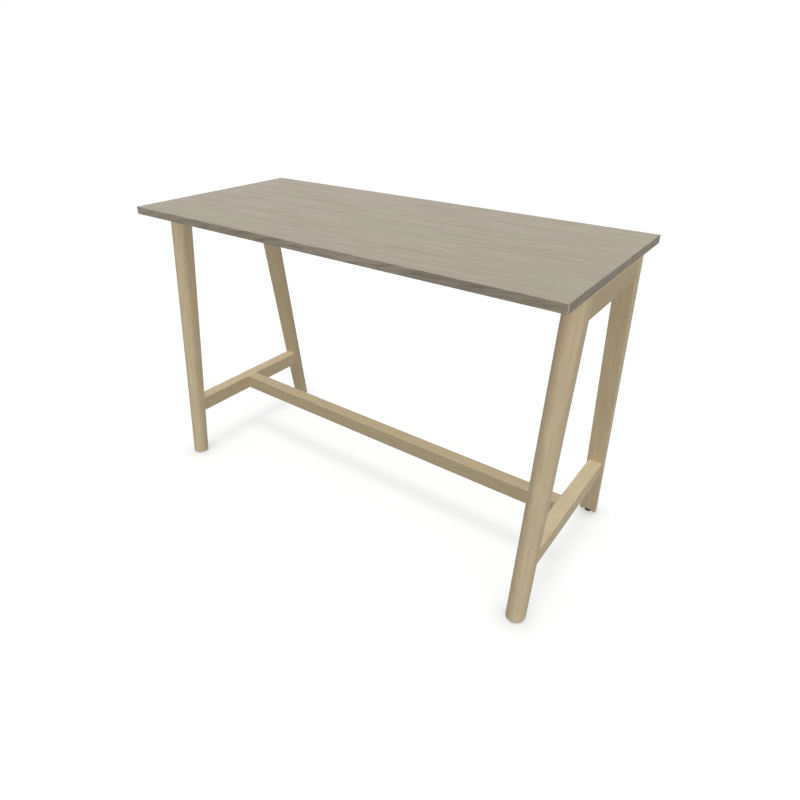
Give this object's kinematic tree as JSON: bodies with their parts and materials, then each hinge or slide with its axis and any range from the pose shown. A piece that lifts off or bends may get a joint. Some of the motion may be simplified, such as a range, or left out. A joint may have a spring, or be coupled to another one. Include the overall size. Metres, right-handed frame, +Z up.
{
  "type": "high table",
  "caption": "Rectangular high table: edge-banded board on two leaning wooden end frames with half-round legs, tied by a low stretcher, on levelling glides.",
  "frame": {"origin": "on the floor below the middle of the board", "axes": "+X along the board, +Y from the front to the back, +Z up"},
  "size_m": [1.6, 0.7, 1.05],
  "materials": {
    "board_decor": "matt melamine wood decor",
    "edge_strip": "matt printed wood decor",
    "frame_wood": "matt lacquered ash",
    "dowel_wood": "plain beech",
    "beam_steel": "fine-textured powder coat",
    "zinc_steel": "zinc plated",
    "stud_steel": "blackened steel",
    "glide_plastic": "moulded black plastic"
  },
  "bodies": {
    "table": {"tabletop_board": "board_decor", "edge_band_front": "edge_strip", "edge_band_back": "edge_strip", "edge_band_left": "edge_strip", "edge_band_right": "edge_strip", "leg_front_left": "frame_wood", "leg_front_right": "frame_wood", "leg_back_left": "frame_wood", "leg_back_right": "frame_wood", "top_rail_left": "frame_wood", "top_rail_right": "frame_wood", "cross_rail_left": "frame_wood", "cross_rail_right": "frame_wood", "long_stretcher": "frame_wood", "beam_front": "beam_steel", "beam_back": "beam_steel", "top_rail_dowels": "dowel_wood", "cross_rail_dowels": "dowel_wood", "stretcher_dowels": "dowel_wood", "stretcher_bolts": "zinc_steel", "stretcher_washers": "zinc_steel", "stretcher_nuts": "zinc_steel", "stretcher_inserts": "zinc_steel", "beam_screws": "zinc_steel", "rail_inserts": "zinc_steel", "top_screws": "zinc_steel", "leg_inserts": "zinc_steel"},
    "glide_pad_front_left": {"glide_pad_front_left": "glide_plastic"},
    "glide_stud_front_left": {"glide_stud_front_left": "stud_steel"},
    "glide_pad_front_right": {"glide_pad_front_right": "glide_plastic"},
    "glide_stud_front_right": {"glide_stud_front_right": "stud_steel"},
    "glide_pad_back_left": {"glide_pad_back_left": "glide_plastic"},
    "glide_stud_back_left": {"glide_stud_back_left": "stud_steel"},
    "glide_pad_back_right": {"glide_pad_back_right": "glide_plastic"},
    "glide_stud_back_right": {"glide_stud_back_right": "stud_steel"}
  },
  "joints": [
    {"name": "glide_lift_front_left", "type": "slide", "parent": "table", "child": "glide_pad_front_left", "axis": [0, 0, -1], "range_m": [0, 0.01]},
    {"name": "stud_turn_front_left", "type": "hinge", "parent": "glide_pad_front_left", "child": "glide_stud_front_left", "pos_m": [-0.767, -0.3095, 0.02], "axis": [0, 0, -1], "range_deg": [0, 2880]},
    {"name": "glide_lift_front_right", "type": "slide", "parent": "table", "child": "glide_pad_front_right", "axis": [0, 0, -1], "range_m": [0, 0.01]},
    {"name": "stud_turn_front_right", "type": "hinge", "parent": "glide_pad_front_right", "child": "glide_stud_front_right", "pos_m": [0.767, -0.3095, 0.02], "axis": [0, 0, -1], "range_deg": [0, 2880]},
    {"name": "glide_lift_back_left", "type": "slide", "parent": "table", "child": "glide_pad_back_left", "axis": [0, 0, -1], "range_m": [0, 0.01]},
    {"name": "stud_turn_back_left", "type": "hinge", "parent": "glide_pad_back_left", "child": "glide_stud_back_left", "pos_m": [-0.767, 0.3095, 0.02], "axis": [0, 0, -1], "range_deg": [0, 2880]},
    {"name": "glide_lift_back_right", "type": "slide", "parent": "table", "child": "glide_pad_back_right", "axis": [0, 0, -1], "range_m": [0, 0.01]},
    {"name": "stud_turn_back_right", "type": "hinge", "parent": "glide_pad_back_right", "child": "glide_stud_back_right", "pos_m": [0.767, 0.3095, 0.02], "axis": [0, 0, -1], "range_deg": [0, 2880]}
  ],
  "couplings": [
    {"joint": "stud_turn_front_left", "follows": "glide_lift_front_left", "rad_per_m": 5026.5},
    {"joint": "stud_turn_front_right", "follows": "glide_lift_front_right", "rad_per_m": 5026.5},
    {"joint": "stud_turn_back_left", "follows": "glide_lift_back_left", "rad_per_m": 5026.5},
    {"joint": "stud_turn_back_right", "follows": "glide_lift_back_right", "rad_per_m": 5026.5}
  ]
}
